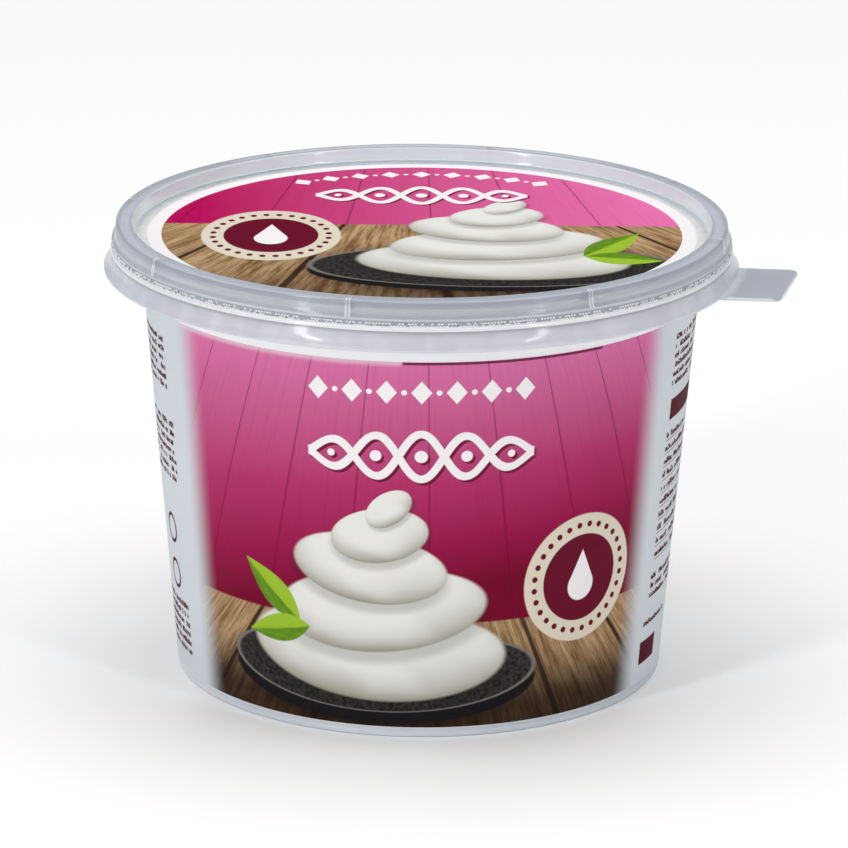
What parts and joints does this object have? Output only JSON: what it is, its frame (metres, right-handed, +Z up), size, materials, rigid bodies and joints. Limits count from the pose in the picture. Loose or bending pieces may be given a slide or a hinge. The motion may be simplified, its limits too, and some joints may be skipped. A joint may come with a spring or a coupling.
{
  "type": "lidded tub of fromage frais",
  "caption": "Round tapered plastic tub of fromage frais, shut by a printed seal and a clear push-on lid with a raised rim and a pull tab; wrap-round printed film on the wall.",
  "frame": {"origin": "middle of the base, on the plane that the tub stands on", "axes": "+Z up along the tub's axis; the front of the print faces -Y; the lid's pull tab points to +X, turned 13.4 degrees towards -Y"},
  "size_m": [0.1284, 0.118, 0.0856],
  "materials": {
    "tub_plastic": "white moulded polypropylene, soft sheen",
    "printed_film": "magenta and white print on satin film, moulded into the wall",
    "printed_seal": "magenta print on smooth white sealing film with a plain white edge",
    "lid_plastic": "clear to milky polypropylene, glossy, with a faint blue-grey tint"
  },
  "bodies": {
    "root": {"tub": "tub_plastic", "label": "printed_film", "seal": "printed_seal", "lid": "lid_plastic"}
  },
  "joints": []
}
